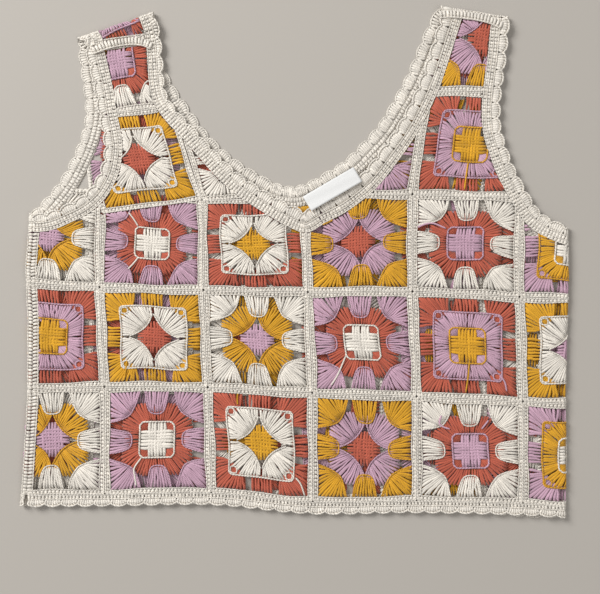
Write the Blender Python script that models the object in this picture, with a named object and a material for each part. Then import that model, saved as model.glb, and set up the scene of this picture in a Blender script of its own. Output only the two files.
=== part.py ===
"""A crop top of crocheted square motifs, laid flat: the front panel lies on the back panel.

Each motif is one wall of cloth in its own object. The panels are drawn first on a flat plan, in
columns and rows of motifs, and the plan is then laid down: the back panel is flat on the ground,
the front panel rests on it, and both turn round the side folds and the shoulder folds.
Frame: +X across the width, +Y towards the straps, +Z up, the origin under the middle of the box.
"""
import bisect
from math import ceil, cos, exp, hypot, pi, sin

import bmesh
import bpy
from mathutils import Vector

for old in list(bpy.data.objects):
    bpy.data.objects.remove(old, do_unlink=True)

MM = 0.001

# Driving dimensions, in millimetres.
CLOTH = 1.7             # wall thickness of the crochet
SEAM = 0.3              # gap between two pieces that are joined
CUT_GAP = 0.9           # gap between a trimmed motif and its curved edging
STRAP_GAP = 1.0         # more room between the straight foot of a strap and the bowed top row
END_GAP = 0.8           # how far an edging stays short of its side or shoulder seam
REST_BACK = CLOTH / 2   # height of the back panel's middle surface
REST_FRONT = 3.1        # height of the front panel's middle surface where it lies flat
FOLD_RADIUS = 2.1       # radius of the middle surface round a fold
FOLD_REACH = 15.0       # how far from a fold the front panel stays lifted
BEND_STEP = 2.3         # longest facet round a fold
WAVE = 0.5              # height of the front panel's soft waves
SIDE_SEAM = 4.5         # the left side seam lies this far in from the left fold, on top
UNDER_SEAM = 17.5       # the right side seam lies this far in from the right fold, underneath
NECK_BAND = 16.5        # width of the neck edging, at the middle of a shell
STRAP_BAND = 12.0       # the same at the left strap, where the edging rolls in
ARM_BAND = 14.5
HEM_BAND = 9.0
SHELL_RISE = 2.2        # height of one scallop over its valleys
SHELL_PITCH = 14.0      # length of one scallop on neck and armholes
HEM_PITCH = 13.6
LABEL = (48.0, 14.0, 1.0)
GORE_REACH = {"front": (0.46, 0.6), "back": (0.58, 0.56)}   # height of the gores, as a share of their cell
PLAN_MIDDLE = (0.0, 3.74, 0.0)   # the plan's point that becomes the origin

# Plan of the panels: where the seven column lines cross each row line, from left to right.
FRONT_LINES = {
    "hem":  [(-241.5, -187), (-155, -186.5), (-68, -185.5), (15, -193), (100, -192), (187, -194), (274.5, -199.5)],
    "low":  [(-241.5, -101), (-155.5, -98.5), (-71, -99), (14.5, -103.5), (100, -106.5), (187, -110.5), (273, -113)],
    "high": [(-245, -12), (-159.5, -17), (-74.5, -19.5), (11, -21), (96.5, -20.5), (184, -25), (269.5, -27)],
    "top":  [(-243.5, 66), (-158.5, 61.5), (-75.5, 54.5), (8.5, 58), (96.5, 59), (184, 56.5), (269.5, 53)],
}
BACK_LINES = {
    "hem":  [(-250, -187), (-169, -186), (-88, -185.5), (-7, -189), (74, -191.5), (155, -193.5), (236, -200.5)],
    "low":  [(-250, -101), (-169, -100), (-88, -100.5), (-7, -103), (74, -105.5), (155, -109), (236, -114.5)],
    "high": [(-250, -11.5), (-169, -17), (-88, -19), (-7, -20), (74, -21.5), (155, -24.5), (236, -28)],
    "top":  [(-250, 64), (-169, 64), (-88, 62), (-7, 61), (74, 60), (155, 59), (236, 57)],
}

# Cells above the top line: left and right corner at the bottom, the middle seam and the crown.
STRAP_CELLS = {
    "front_left":   [((-157.5, 43), (-75.5, 54)), ((-176.5, 121.5), (-99, 132)), ((-192.5, 203), (-108, 214.5))],
    "front_gore_l": [((-75.5, 54), (8.5, 58)), ((-99, 132), (-15, 134)), ((-116, 214), (-32, 214))],
    "front_gore_r": [((8.5, 58), (96.5, 59)), ((24, 143), (108, 143)), ((35, 235), (119, 235))],
    "front_right":  [((96.5, 59), (184, 56.5)), ((108, 143), (191.5, 143)), ((119, 235), (204.5, 223.5))],
    "back_left":    [((-169, 64), (-88, 62)), ((-177.5, 133), (-96.5, 144.5)), ((-194.5, 211), (-115.5, 227.5))],
    "back_gore_l":  [((-88, 62), (-7, 61)), ((-96.5, 144.5), (-15, 144)), ((-115.5, 227), (-34, 227))],
    "back_gore_r":  [((-7, 61), (74, 60)), ((8, 141), (92, 141)), ((25, 223), (107.5, 223))],
    "back_right":   [((74, 60), (155, 59)), ((92, 141), (172.5, 141)), ((107.5, 223.5), (189.5, 211))],
}

# Folds: the left and right side folds by height, the shoulder folds by their two ends.
LEFT_FOLD = [(-192, -224), (-176, -222.5), (-110, -218.5), (-44, -218), (-3, -220), (50, -216)]
RIGHT_FOLD = [(-200, 221.5), (-151, 222), (-110, 221.5), (-60, 222.5), (-19, 224), (30, 223.5)]
LEFT_CROWN = ((-181.5, 185.5), (-126, 204.5))
RIGHT_CROWN = ((118, 213), (169, 205))
LEFT_SEAM = ((-156, 181), (-122, 186))
RIGHT_SEAM = ((137, 206.5), (161, 204))


def spline(points, steps=10):
    """Points on a smooth curve through the given ones."""
    ends = [[2 * a - b for a, b in zip(points[0], points[1])]]
    tail = [[2 * a - b for a, b in zip(points[-1], points[-2])]]
    knots = ends + [list(p) for p in points] + tail
    curve = []
    for i in range(1, len(knots) - 2):
        for k in range(steps):
            curve.append(blend(knots[i - 1:i + 3], k / steps))
    curve.append(list(points[-1]))
    return curve


def blend(four, t):
    """Catmull-Rom blend between the second and third of four points."""
    a, b, c, d = four
    return [0.5 * (2 * q + (r - p) * t + (2 * p - 5 * q + 4 * r - s) * t * t + (3 * q - p - 3 * r + s) * t ** 3)
            for p, q, r, s in zip(a, b, c, d)]


def read(rows, t):
    """The point at t on the smooth curve through rows, which stand one apart."""
    i = min(max(int(t // 1), 0), len(rows) - 2)
    before = rows[i - 1] if i > 0 else [2 * a - b for a, b in zip(rows[0], rows[1])]
    after = rows[i + 2] if i + 2 < len(rows) else [2 * a - b for a, b in zip(rows[-1], rows[-2])]
    return blend((before, rows[i], rows[i + 1], after), t - i)


def cross(curve, y):
    """Where a curve that rises or falls all the way has the height y."""
    rows = sorted(curve, key=lambda p: p[1])
    i = min(max(bisect.bisect([p[1] for p in rows], y), 1), len(rows) - 1)
    (x0, y0), (x1, y1) = rows[i - 1], rows[i]
    return x0 + (x1 - x0) * (y - y0) / max(y1 - y0, 1e-9)


def at_height(table, y):
    """Read a fold's table of (height, place), held at its ends."""
    y = min(max(y, table[0][0]), table[-1][0])
    i = min(max(bisect.bisect([row[0] for row in table], y), 1), len(table) - 1)
    (y0, x0), (y1, x1) = table[i - 1], table[i]
    return x0 + (x1 - x0) * (y - y0) / (y1 - y0)


def crown_normal(crown):
    """Outward direction of a shoulder fold."""
    (x0, y0), (x1, y1) = crown
    size = hypot(x1 - x0, y1 - y0)
    return (-(y1 - y0) / size, (x1 - x0) / size)


def past(fold, x, y):
    """How far a point of the plan is past the line where the cloth starts to bend, and the way out."""
    if fold is LEFT_FOLD:
        return at_height(fold, y) + FOLD_RADIUS - x, (-1.0, 0.0)
    if fold is RIGHT_FOLD:
        return x - at_height(fold, y) + FOLD_RADIUS, (1.0, 0.0)
    out = crown_normal(fold)
    return (x - fold[0][0]) * out[0] + (y - fold[0][1]) * out[1] + FOLD_RADIUS, out


def nearness(distance):
    return exp(-(max(distance, 0.0) / FOLD_REACH) ** 2)


def front_height(x, y):
    """Height of the front panel's middle surface where it lies on the back panel."""
    near = max(nearness(-past(fold, x, y)[0]) for fold in (LEFT_FOLD, RIGHT_FOLD, LEFT_CROWN, RIGHT_CROWN))
    waves = sin(x / 31 + y / 57) * cos(y / 37 - x / 83) + 0.6 * sin(y / 23 + x / 47)
    flat = REST_FRONT + WAVE * (1.0 + 0.6 * waves)
    return flat + (REST_BACK + 2 * FOLD_RADIUS - flat) * near


def roll(fold, x, y, sign):
    """A point past a fold: round the bend, then back on the other side. sign is 1 from the top down."""
    depth, out = past(fold, x, y)
    middle = REST_BACK + FOLD_RADIUS
    if depth < pi * FOLD_RADIUS:
        reach = FOLD_RADIUS * sin(depth / FOLD_RADIUS)
        z = middle + sign * FOLD_RADIUS * cos(depth / FOLD_RADIUS)
        return x + out[0] * (reach - depth), y + out[1] * (reach - depth), z
    back = 2 * depth - pi * FOLD_RADIUS
    px, py = x - out[0] * back, y - out[1] * back
    return px, py, REST_BACK if sign > 0 else front_height(px, py)


def front(x, y):
    """Middle surface of the front panel."""
    if past(RIGHT_FOLD, x, y)[0] > 0:
        return roll(RIGHT_FOLD, x, y, 1)
    return x, y, front_height(x, y)


def back(x, y):
    """Middle surface of the back panel."""
    for fold in (LEFT_FOLD, LEFT_CROWN, RIGHT_CROWN):
        if past(fold, x, y)[0] > 0:
            return roll(fold, x, y, -1)
    return x, y, REST_BACK


def unroll(fold, x, y):
    """The plan point that roll brings back to (x, y) on the far side of a fold."""
    depth, out = past(fold, x, y)
    push = -2 * depth + pi * FOLD_RADIUS
    return x + out[0] * push, y + out[1] * push


# Cut lines, where the motifs end and the edgings start.
FRONT_NECK = spline([
    (-122, 186), (-121.2, 180.5), (-120.3, 168.5), (-119, 150), (-115, 133.5), (-105, 119), (-92.5, 106),
    (-81, 92.5), (-66.5, 76), (-51.5, 62), (-38.5, 52.5), (-23.5, 43), (-8, 34), (9.5, 27.5), (26, 36), (41.5, 44),
    (55.5, 54), (68.5, 65.5), (83.5, 84.5), (98.5, 106), (110, 127), (119.5, 148.5), (128, 174), (133, 190),
    (136.5, 201.5), (137, 206.5)])
FRONT_ARM_LEFT = spline([
    (-156, 181), (-155.2, 175.5), (-152, 161.5), (-148.5, 145.5), (-145.5, 127), (-142, 110), (-140.5, 96),
    (-143, 79.5), (-148.5, 65.5), (-157.5, 52.5), (-170, 42.5), (-185, 35), (-197, 30), (-208, 28), (-214, 28)])
FRONT_ARM_RIGHT = spline([
    (161, 204), (160.5, 199), (158.5, 174), (155, 148.5), (153.5, 133), (153.5, 116.5), (156, 102.5), (161, 87.5),
    (166.5, 73.5), (174, 59.5), (181.5, 46.5), (189, 36), (199, 27.5), (212, 21), (224, 16.5), (234, 13.5),
    (239, 13), (243.5, 13)])
BACK_NECK = spline([
    unroll(LEFT_CROWN, -122, 186), unroll(LEFT_CROWN, -122.9, 192), (-128, 205), (-126, 187), (-120, 162),
    (-112.5, 146.5), (-99, 125), (-85, 104), (-73, 90), (-61, 78.5), (-47, 68), (-31, 58), (-16, 51), (2, 49),
    (18, 54), (33, 62), (50, 73), (66, 88), (82, 106), (94, 125), (104, 143), (112, 160), (119, 177), (127, 195),
    (135, 206.5), unroll(RIGHT_CROWN, 137.4, 209), unroll(RIGHT_CROWN, 137, 206.5)])
BACK_ARM_LEFT = spline([
    unroll(LEFT_CROWN, -156, 181), unroll(LEFT_CROWN, -157, 187), (-161.5, 194), (-163, 184), (-161, 165),
    (-158.5, 148), (-157, 130), (-158, 115), (-163, 97), (-171, 79), (-180, 63), (-190, 50), (-200, 39), (-210, 30.5),
    unroll(LEFT_FOLD, -219, 28), unroll(LEFT_FOLD, -214, 28)])
BACK_ARM_RIGHT = spline([
    unroll(RIGHT_CROWN, 161, 204), (161, 205.5), (158, 190), (155, 163), (151.5, 137), (151.5, 116.5), (154, 102.5),
    (159, 87.5), (164.5, 73), (171, 58.5), (177.5, 45.5), (184, 33.5), (190.5, 23), (196.5, 15.5), (202, 13),
    (206, 13)])


def split(curve):
    """A neck line's left and right halves, divided at its lowest point."""
    low = min(range(len(curve)), key=lambda i: curve[i][1])
    return curve[:low + 1], curve[low:]


PANELS = {
    "front": {
        "lines": FRONT_LINES, "lay": front, "folds": (RIGHT_FOLD,), "neck_line": FRONT_NECK,
        "neck": split(FRONT_NECK), "arm_left": FRONT_ARM_LEFT, "arm_right": FRONT_ARM_RIGHT,
        "left": lambda y: at_height(LEFT_FOLD, y) + SIDE_SEAM,
        "right": lambda y: unroll(RIGHT_FOLD, at_height(RIGHT_FOLD, y) - UNDER_SEAM, y)[0],
    },
    "back": {
        "lines": BACK_LINES, "lay": back, "folds": (LEFT_FOLD, LEFT_CROWN, RIGHT_CROWN), "neck_line": BACK_NECK,
        "neck": split(BACK_NECK), "arm_left": BACK_ARM_LEFT, "arm_right": BACK_ARM_RIGHT,
        "left": lambda y: unroll(LEFT_FOLD, at_height(LEFT_FOLD, y) + SIDE_SEAM, y)[0],
        "right": lambda y: at_height(RIGHT_FOLD, y) - UNDER_SEAM,
    },
}


def on_panel(panel, x, y, gap=CUT_GAP):
    """True where a plan point is on the motifs of the body, inside every cut line and side seam."""
    side = PANELS[panel]
    if not side["left"](y) + SEAM / 2 <= x <= side["right"](y) - SEAM / 2:
        return False
    if y > side["arm_left"][-1][1] - gap and x < cross(side["arm_left"], y + gap) + gap:
        return False
    if y > side["arm_right"][-1][1] - gap and x > cross(side["arm_right"], y + gap) - gap:
        return False
    left, right = side["neck"]
    low = left[-1][1] - gap
    return y < low or not cross(left, y + gap) - gap < x < cross(right, y + gap) + gap


def body_cell(panel, column, row):
    """Plan of one body motif: (s, t) run over its cell, from its left and from its hem side."""
    lines = PANELS[panel]["lines"]
    order = [lines[name] for name in ("hem", "low", "high", "top")]

    def plan(s, t):
        crossings = [read(line, column + s) for line in order]
        return read(crossings, row + t)
    return plan


def strap_cell(name, row):
    """Plan of one motif over the top line, row 0 at the bottom of the strap and 1 at the shoulder."""
    lefts = [left for left, right in STRAP_CELLS[name]]
    rights = [right for left, right in STRAP_CELLS[name]]

    def plan(s, t):
        a, b = read(lefts, row + t), read(rights, row + t)
        return [p + (q - p) * s for p, q in zip(a, b)]
    return plan


def last_true(test, start, stop, rounds=22):
    """The point between start and stop up to which test holds, given that it holds at start."""
    if test(stop):
        return stop
    for _ in range(rounds):
        middle = (start + stop) / 2
        if test(middle):
            start = middle
        else:
            stop = middle
    return start


def seam_inset(plan):
    """Half the seam gap as a share of a cell's width and height."""
    (x0, y0), (x1, y1), (x2, y2) = plan(0, 0.5), plan(1, 0.5), plan(0.5, 0)
    x3, y3 = plan(0.5, 1)
    return SEAM / 2 / hypot(x1 - x0, y1 - y0), SEAM / 2 / hypot(x3 - x2, y3 - y2)


def body_region(panel, column, row, ceiling=None):
    """The part of a body cell that is on the panel, as a map of the unit square onto the plan."""
    plan = body_cell(panel, column, row)
    side, top = seam_inset(plan)

    def edges(t):
        low, high = side, 1 - side
        if column == 0:
            low = 1 - last_true(lambda k: on_side(plan(1 - k, t)), 0.0, 1.0)
        if column == 5:
            high = last_true(lambda k: on_side(plan(k, t)), 0.0, 1.0)
        return low, high

    def on_side(point):
        x, y = point
        return PANELS[panel]["left"](y) + SEAM / 2 <= x <= PANELS[panel]["right"](y) - SEAM / 2

    def at(s, t):
        low, high = edges(t)
        return plan(low + (high - low) * s, t)

    def inside(s, t):
        x, y = at(min(max(s, 0.001), 0.999), t)
        return on_panel(panel, x, y) and (ceiling is None or y < ceiling(x))

    def region(s, t):
        end = last_true(lambda k: inside(s, k), top, 1 - top) if row == 2 else 1 - top
        return at(s, top + (end - top) * t)
    return region


def strap_region(name, row, left, right, end=1.0):
    """The part of a strap cell between two cut lines, None where the cell keeps its own side."""
    plan = strap_cell(name, row)
    side, top = seam_inset(plan)
    middle = {"front_gore_l": 0.03, "back_gore_l": 0.03, "front_gore_r": 0.97, "back_gore_r": 0.97}.get(name, 0.5)

    def inside(s, t):
        x, y = plan(s, t)
        if left is not None and x < cross(left, y) + CUT_GAP:
            return False
        return right is None or x < cross(right, y) - CUT_GAP

    def region(s, t):
        start = top + (STRAP_GAP / 80 if row == 0 else 0.0)
        t = start + (end - top - start) * t
        low = middle + side - last_true(lambda k: inside(middle - k, t), 0.0, middle)
        high = middle - side + last_true(lambda k: inside(middle + k, t), 0.0, 1 - middle)
        x0, y0 = plan(low, t)
        x1, y1 = plan(high, t)
        return x0 + (x1 - x0) * s, y0 + (y1 - y0) * s
    return region


def crown_region(panel, hand, left, right, seam):
    """A shoulder motif: a strap cell that also ends at the shoulder seam."""
    plain = strap_region(f"{panel}_{hand}", 1, left, right)
    crown = LEFT_CROWN if seam is LEFT_SEAM else RIGHT_CROWN
    ends = [unroll(crown, *point) if panel == "back" else point for point in seam]

    def region(s, t):
        def below(k):
            x, y = plain(s, k)
            (x0, y0), (x1, y1) = ends
            return y < y0 + (y1 - y0) * (x - x0) / (x1 - x0) - SEAM / 2
        return plain(s, t * last_true(below, 0.0, 1.2))
    return region


def surface_normal(lay, x, y):
    step = 0.2
    here = Vector(lay(x, y))
    along = Vector(lay(x + step, y)) - here
    up = Vector(lay(x, y + step)) - here
    return here, along.cross(up).normalized()


def material(name, colour, roughness=0.9):
    made = bpy.data.materials.new(name)
    made.use_nodes = True
    shader = made.node_tree.nodes["Principled BSDF"]
    shader.inputs["Base Color"].default_value = (*colour, 1.0)
    shader.inputs["Roughness"].default_value = roughness
    shader.inputs["Metallic"].default_value = 0.0
    return made


CREAM = (0.86, 0.81, 0.70)
TERRACOTTA = (0.58, 0.13, 0.07)
GOLD = (0.75, 0.43, 0.05)
LILAC = (0.56, 0.38, 0.55)
LABEL_WHITE = (0.9, 0.9, 0.88)


def add_mesh(name, rings, colour):
    """A solid from rings of equally many points, in millimetres, with both ends capped."""
    mesh = bpy.data.meshes.new(name)
    shape = bmesh.new()
    rows = [[shape.verts.new((Vector(p) - Vector(PLAN_MIDDLE)) * MM) for p in ring] for ring in rings]
    count = len(rows[0])
    for a, b in zip(rows, rows[1:]):
        for i in range(count):
            j = (i + 1) % count
            shape.faces.new((a[i], a[j], b[j], b[i]))
    cap(shape, rows[0], False)
    cap(shape, rows[-1], True)
    if shape.calc_volume(signed=True) < 0:
        bmesh.ops.reverse_faces(shape, faces=shape.faces)
    bmesh.ops.triangulate(shape, faces=shape.faces)
    shape.to_mesh(mesh)
    shape.free()
    mesh.materials.append(material("Cotton_" + name, colour))
    thing = bpy.data.objects.new(name, mesh)
    bpy.context.collection.objects.link(thing)
    return thing


def cap(shape, ring, flip):
    """Close a ring whose first half is the top side and second half the under side, in quads."""
    half = len(ring) // 2
    for i in range(half - 1):
        quad = (ring[i], ring[i + 1], ring[-2 - i], ring[-1 - i])
        shape.faces.new(quad if flip else quad[::-1])


def refined(stops, points_at, folds):
    """The stops with more between them wherever the cloth there goes round a fold."""
    finer = [stops[0]]
    for a, b in zip(stops, stops[1:]):
        samples = [point for k in range(5) for point in points_at(a + (b - a) * k / 4)]
        bends = any(-0.5 < past(fold, x, y)[0] < pi * FOLD_RADIUS + 0.5 for fold in folds for x, y in samples)
        (x0, y0), (x1, y1) = points_at(a)[0], points_at(b)[0]
        parts = ceil(hypot(x1 - x0, y1 - y0) / BEND_STEP) if bends else 1
        finer += [a + (b - a) * (k + 1) / parts for k in range(parts)]
    return finer


def add_wall(name, region, side, colour, across=4, along=3, turns=None):
    """A motif: the region of the plan laid down as a wall. turns says which way it goes round a fold."""
    columns = [i / across for i in range(across + 1)]
    rows = [j / along for j in range(along + 1)]
    if turns == "across":
        columns = refined(columns, lambda s: [region(s, t) for t in (0.0, 1.0)], side["folds"])
    if turns == "along":
        rows = refined(rows, lambda t: [region(s, t) for s in (0.0, 1.0)], side["folds"])
    rings = []
    for t in rows:
        top, under = [], []
        for s in columns:
            here, normal = surface_normal(side["lay"], *region(s, t))
            top.append(here + normal * (CLOTH / 2))
            under.append(here - normal * (CLOTH / 2))
        rings.append(top + under[::-1])
    return add_mesh(name, rings, colour)


def resample(curve, count):
    """count + 1 points at equal distances along a curve."""
    lengths = [0.0]
    for a, b in zip(curve, curve[1:]):
        lengths.append(lengths[-1] + hypot(b[0] - a[0], b[1] - a[1]))
    points = []
    for k in range(count + 1):
        want = lengths[-1] * k / count
        i = min(max(bisect.bisect(lengths, want), 1), len(lengths) - 1)
        part = (want - lengths[i - 1]) / (lengths[i] - lengths[i - 1])
        points.append([p + (q - p) * part for p, q in zip(curve[i - 1], curve[i])])
    return points, lengths[-1]


def add_edging(name, curve, panel, hand, width, pitch):
    """A scalloped band along a cut line. hand is 1 where it lies to the left of the line's direction."""
    side = PANELS[panel]
    _, length = resample(curve, 1)
    steps = round(length / pitch) * 3
    points, _ = resample(curve, steps)

    def section(k):
        """Inner and outer plan point at station k; every third station is a valley between scallops."""
        i = min(int(k), steps - 1)
        part = k - i
        ahead, behind = points[min(i + 2, steps)], points[max(i - 1, 0)]
        if i == 0 and part == 0:
            ahead, behind = points[1], points[0]
        if i == steps - 1 and part == 1:
            ahead, behind = points[steps], points[steps - 1]
        size = hypot(ahead[0] - behind[0], ahead[1] - behind[1])
        along = ((ahead[0] - behind[0]) / size, (ahead[1] - behind[1]) / size)
        reaches = [width(j / steps) - (SHELL_RISE if j % 3 == 0 else 0.0) for j in (i, i + 1)]
        reach = reaches[0] + (reaches[1] - reaches[0]) * part
        shift = END_GAP if k == 0 else -END_GAP if k == steps else 0.0
        x = points[i][0] + (points[i + 1][0] - points[i][0]) * part + along[0] * shift
        y = points[i][1] + (points[i + 1][1] - points[i][1]) * part + along[1] * shift
        return [(x, y), (x - along[1] * hand * reach, y + along[0] * hand * reach)]

    rings = []
    for k in refined(list(range(steps + 1)), section, side["folds"]):
        (inner, n0), (outer, n1) = [surface_normal(side["lay"], *point) for point in section(k)]
        lift = CLOTH / 2
        rings.append([inner + n0 * lift, outer + n1 * lift, outer - n1 * lift, inner - n0 * lift])
    return add_mesh(name, rings, CREAM)


def pleat(x):
    """Where the left strap's first motif ends over the body, as a height over the plan."""
    (x0, y0), (x1, y1) = STRAP_CELLS["front_left"][0]
    return y0 + (y1 - y0) * (x - x0) / (x1 - x0) - SEAM / 2


# Body motifs: the outer colour of each column, rows from the hem up.
OUTER = {
    "front": [[CREAM, LILAC, TERRACOTTA, GOLD, CREAM, LILAC],
              [TERRACOTTA, GOLD, CREAM, LILAC, TERRACOTTA, GOLD],
              [CREAM, LILAC, TERRACOTTA, GOLD, CREAM, LILAC]],
    "back":  [[LILAC, GOLD, CREAM, TERRACOTTA, LILAC, CREAM],
              [GOLD, TERRACOTTA, LILAC, CREAM, GOLD, TERRACOTTA],
              [LILAC, CREAM, GOLD, TERRACOTTA, LILAC, GOLD]],
}
ROW_NAMES = ("hem", "middle", "upper")


def build_body():
    for panel in ("front", "back"):
        for row, row_name in enumerate(ROW_NAMES):
            for column in range(6):
                ceiling = pleat if (panel, row, column) == ("front", 2, 1) else None
                region = body_region(panel, column, row, ceiling)
                turns = "across" if (panel, column) in (("front", 5), ("back", 0)) else None
                across = 8 if row == 2 and column in (0, 2, 3, 5) else 6 if turns else 4
                add_wall(f"{panel}_{row_name}_motif_{column + 1}", region, PANELS[panel],
                         OUTER[panel][row][column], across=across, turns=turns)


def build_straps():
    for panel in ("front", "back"):
        side = PANELS[panel]
        neck_left, neck_right = side["neck"]
        left, right = side["arm_left"], side["arm_right"]
        tall = 4 if panel == "front" else 8
        reach_left, reach_right = GORE_REACH[panel]
        pieces = (
            ("left_strap_motif", strap_region(f"{panel}_left", 0, left, neck_left), GOLD, 4),
            ("right_strap_motif", strap_region(f"{panel}_right", 0, neck_right, right), TERRACOTTA, 4),
            ("left_gore", strap_region(f"{panel}_gore_l", 0, None, neck_left, reach_left), CREAM, 4),
            ("right_gore", strap_region(f"{panel}_gore_r", 0, neck_right, None, reach_right), LILAC, 4),
            ("left_shoulder_motif", crown_region(panel, "left", left, neck_left, LEFT_SEAM), CREAM, tall),
            ("right_shoulder_motif", crown_region(panel, "right", neck_right, right, RIGHT_SEAM), GOLD, tall),
        )
        for name, region, colour, along in pieces:
            turns = "along" if (panel, along) == ("back", tall) else None
            add_wall(f"{panel}_{name}", region, side, colour, along=along, turns=turns)


def hem_line(panel):
    """The hem's cut line, from the left side seam to the right one."""
    side = PANELS[panel]
    line = side["lines"]["hem"]

    def u_at(edge, low, high):
        return last_true(lambda u: (read(line, u)[0] < edge) == (read(line, low)[0] < edge), low, high)
    start = u_at(side["left"](line[0][1]), 0.0, 1.5)
    stop = u_at(side["right"](line[-1][1]), 4.5, 6.0)
    return [read(line, start + (stop - start) * k / 80) for k in range(81)]


def neck_width(k):
    """The neck edging's width along its line: narrower on the left strap, where it rolls in."""
    return STRAP_BAND + (NECK_BAND - STRAP_BAND) * min(max((k - 0.2) / 0.25, 0.0), 1.0)


def build_edgings():
    for panel in ("front", "back"):
        side = PANELS[panel]
        add_edging(f"{panel}_neck_edging", side["neck_line"], panel, 1, neck_width, SHELL_PITCH)
        add_edging(f"{panel}_left_armhole_edging", side["arm_left"], panel, -1, lambda k: ARM_BAND, SHELL_PITCH)
        add_edging(f"{panel}_right_armhole_edging", side["arm_right"], panel, 1, lambda k: ARM_BAND, SHELL_PITCH)
        add_edging(f"{panel}_hem_edging", hem_line(panel), panel, -1, lambda k: HEM_BAND, HEM_PITCH)


def build_label():
    """The blank neck label: a small plate that lies on the back neck edging and the front one's scallops."""
    length, width, thick = LABEL
    mesh = bpy.data.meshes.new("neck_label")
    shape = bmesh.new()
    bmesh.ops.create_cube(shape, size=1.0)
    bmesh.ops.scale(shape, vec=Vector((length, width, thick)) * MM, verts=shape.verts)
    shape.to_mesh(mesh)
    shape.free()
    mesh.materials.append(material("Woven_label", LABEL_WHITE, 0.7))
    label = bpy.data.objects.new("neck_label", mesh)
    bpy.context.collection.objects.link(label)
    label.rotation_mode = "XYZ"
    label.rotation_euler = (-0.1, 0.0, 0.53)
    label.location = (Vector((31.0, 63.0, 5.9)) - Vector(PLAN_MIDDLE)) * MM


build_body()
build_straps()
build_edgings()
build_label()
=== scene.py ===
"""Looks of the crochet top: every motif and edging is worked again in single strands of yarn.

The pieces are drawn on the same flat plan as the CAD walls, in millimetres, and laid down the same way:
the back panel flat on the floor, the front panel on it, both turned round the side and shoulder folds.
A strand is a row of points (x, y, height over the middle of the cloth); a batch of strands is one array.
"""
from math import cos, pi, radians, sin

import bmesh
import bpy
import numpy as np
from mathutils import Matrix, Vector


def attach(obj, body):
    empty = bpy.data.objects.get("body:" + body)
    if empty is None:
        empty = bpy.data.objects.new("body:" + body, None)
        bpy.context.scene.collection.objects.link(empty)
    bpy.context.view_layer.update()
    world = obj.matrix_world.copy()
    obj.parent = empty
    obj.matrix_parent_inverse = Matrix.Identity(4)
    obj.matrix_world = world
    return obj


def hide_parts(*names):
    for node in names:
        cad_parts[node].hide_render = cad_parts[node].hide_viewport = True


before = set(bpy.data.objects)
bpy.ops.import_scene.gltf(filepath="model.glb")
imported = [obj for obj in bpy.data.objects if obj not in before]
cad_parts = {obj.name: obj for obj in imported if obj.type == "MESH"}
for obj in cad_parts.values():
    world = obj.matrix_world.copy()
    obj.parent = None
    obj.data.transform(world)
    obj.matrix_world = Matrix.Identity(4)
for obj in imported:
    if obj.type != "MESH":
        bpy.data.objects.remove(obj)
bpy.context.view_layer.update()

MM = 0.001

# The lie of the cloth, as in the CAD model, in millimetres.
PLAN_MIDDLE = np.array([0.0, 3.74, 0.0])  # the plan's point at the frame's origin
CLOTH = 1.7  # thickness of the crochet
REST_BACK = CLOTH / 2  # height of the back panel's middle
REST_FRONT = 3.1  # height of the front panel's middle, without its waves
BACK_LIFT = 0.25  # keeps the back panel's outer side, which faces down, off the floor
FOLD_RADIUS = 2.1
FOLD_REACH = 15.0  # how far from a fold the front panel is lifted by it
WAVE = 0.5
SIDE_SEAM = 4.5  # the left side seam lies this far in from its fold, on top
UNDER_SEAM = 17.5  # the right one lies this far in from its fold, underneath
SEAM = 0.3  # the gap between neighbouring pieces
TRIM = 0.2  # how far a trimmed motif's strands stay off the cut line
NECK_BAND = 16.5  # widths of the edgings: neck, neck beside the straps, armholes and hem
STRAP_BAND = 12.0
ARM_BAND = 14.5
HEM_BAND = 9.0
SHELL_PITCH = 14.0  # lengths of a shell: neck and armholes, and hem
HEM_PITCH = 13.6
LABEL = (48.0, 14.0)

# Where the rows of motifs meet, from the hem up: each panel's seven column crossings on each line.
FRONT_LINES = np.array([
    [(-241.5, -187), (-155, -186.5), (-68, -185.5), (15, -193), (100, -192), (187, -194), (274.5, -199.5)],
    [(-241.5, -101), (-155.5, -98.5), (-71, -99), (14.5, -103.5), (100, -106.5), (187, -110.5), (273, -113)],
    [(-245, -12), (-159.5, -17), (-74.5, -19.5), (11, -21), (96.5, -20.5), (184, -25), (269.5, -27)],
    [(-243.5, 66), (-158.5, 61.5), (-75.5, 54.5), (8.5, 58), (96.5, 59), (184, 56.5), (269.5, 53)]])
BACK_LINES = np.array([
    [(-250, -187), (-169, -186), (-88, -185.5), (-7, -189), (74, -191.5), (155, -193.5), (236, -200.5)],
    [(-250, -101), (-169, -100), (-88, -100.5), (-7, -103), (74, -105.5), (155, -109), (236, -114.5)],
    [(-250, -11.5), (-169, -17), (-88, -19), (-7, -20), (74, -21.5), (155, -24.5), (236, -28)],
    [(-250, 64), (-169, 64), (-88, 62), (-7, 61), (74, 60), (155, 59), (236, 57)]])
LINES = {"front": FRONT_LINES, "back": BACK_LINES}
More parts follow.
